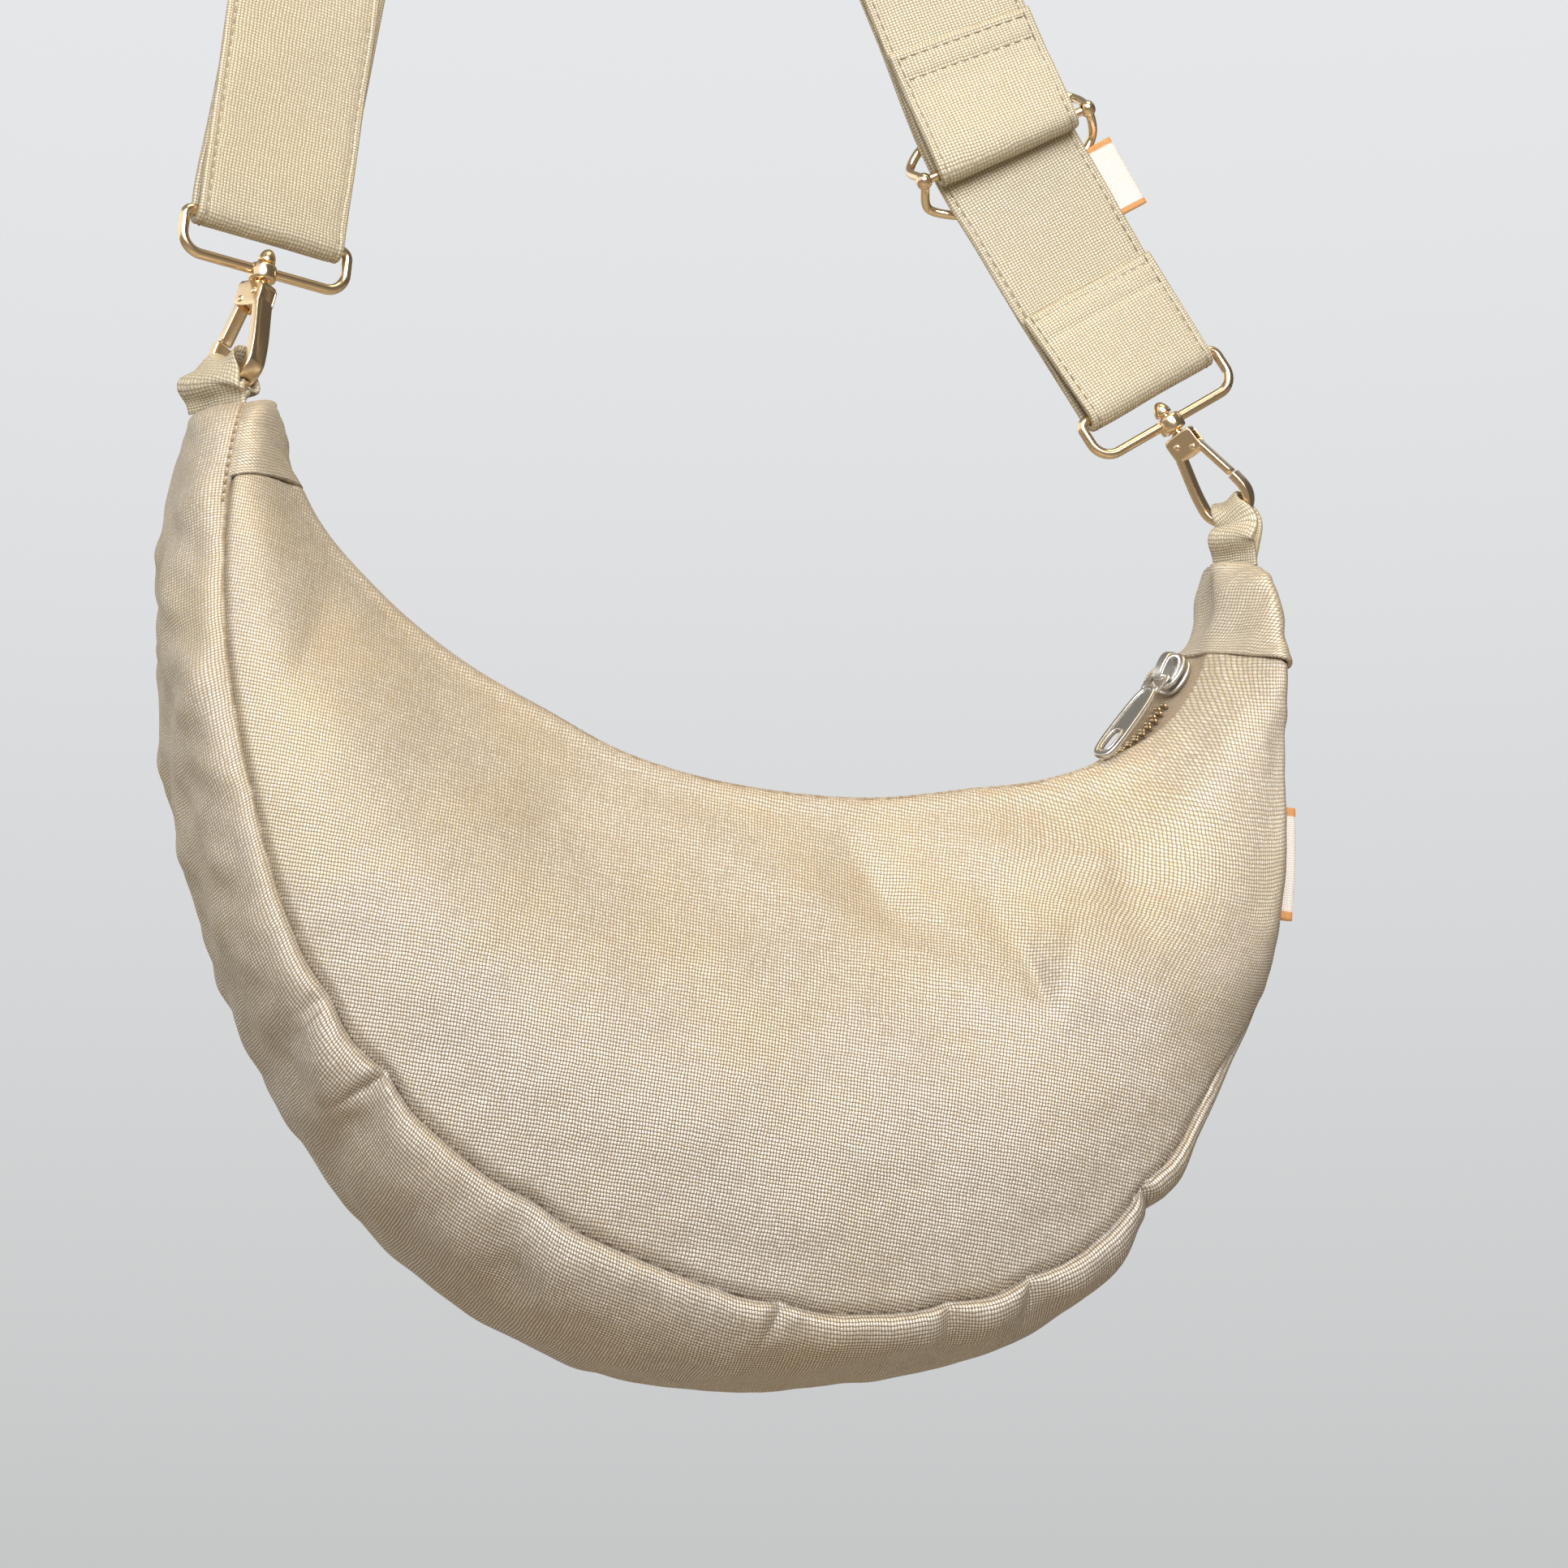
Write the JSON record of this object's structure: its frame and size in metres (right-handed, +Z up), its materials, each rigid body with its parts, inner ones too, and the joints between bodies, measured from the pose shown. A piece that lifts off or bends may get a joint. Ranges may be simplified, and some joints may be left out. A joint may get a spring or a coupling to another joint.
{
  "type": "half-moon linen bag",
  "caption": "Half-moon shoulder bag of coated linen with a round gusset, a zipped curved mouth and a wide adjustable strap on swivel hooks, hanging from its strap.",
  "frame": {"origin": "underside of the strap at its highest place, where it hangs on a peg", "axes": "+Z up, +X to the right as the zip is seen from the front, +Y to the back"},
  "size_m": [0.2849, 0.0824, 0.6755],
  "materials": {
    "coated_linen": "plain-woven linen with a thin pale-gold metallic coat on the thread crowns",
    "strap_linen": "the same linen folded and sewn flat",
    "zip_cloth": "woven zip tape and moulded coil",
    "tab_cloth": "blank woven tab with orange ends",
    "pale_gold_metal": "polished pale-gold plating",
    "silver_metal": "bright nickel plating"
  },
  "bodies": {
    "bag_and_strap": {"front_panel": "coated_linen", "back_panel": "coated_linen", "gusset": "coated_linen", "tip_cap_left": "coated_linen", "tip_cap_right": "coated_linen", "zip_tape": "zip_cloth", "zip_chain": "zip_cloth", "zip_slider": "silver_metal", "label_bag": "tab_cloth", "ring_left": "pale_gold_metal", "hook_left": "pale_gold_metal", "ring_right": "pale_gold_metal", "hook_right": "pale_gold_metal", "strap": "strap_linen", "strap_adjuster": "pale_gold_metal", "loop_left": "strap_linen", "loop_right": "strap_linen", "label_strap": "tab_cloth"},
    "gate_left": {"gate_left": "pale_gold_metal"},
    "gate_right": {"gate_right": "pale_gold_metal"},
    "zip_pull": {"zip_pull": "silver_metal"}
  },
  "joints": [
    {"name": "gate_left_hinge", "type": "hinge", "parent": "bag_and_strap", "child": "gate_left", "pos_m": [-0.04811, 0.00226, -0.40138], "axis": [-0.6861, -0.7071, 0.1711], "range_deg": [0, 18], "stiffness_Nm_per_rad": 0.02, "springref_deg": -17.19},
    {"name": "gate_right_hinge", "type": "hinge", "parent": "bag_and_strap", "child": "gate_right", "pos_m": [0.19984, -0.00206, -0.42009], "axis": [0.5167, 0.766, 0.3823], "range_deg": [0, 18], "stiffness_Nm_per_rad": 0.02, "springref_deg": -17.19},
    {"name": "zip_pull_hinge", "type": "hinge", "parent": "bag_and_strap", "child": "zip_pull", "pos_m": [0.18702, -0.00371, -0.48435], "axis": [-0.518, 0.8145, 0.2612], "range_deg": [0, 115]}
  ]
}
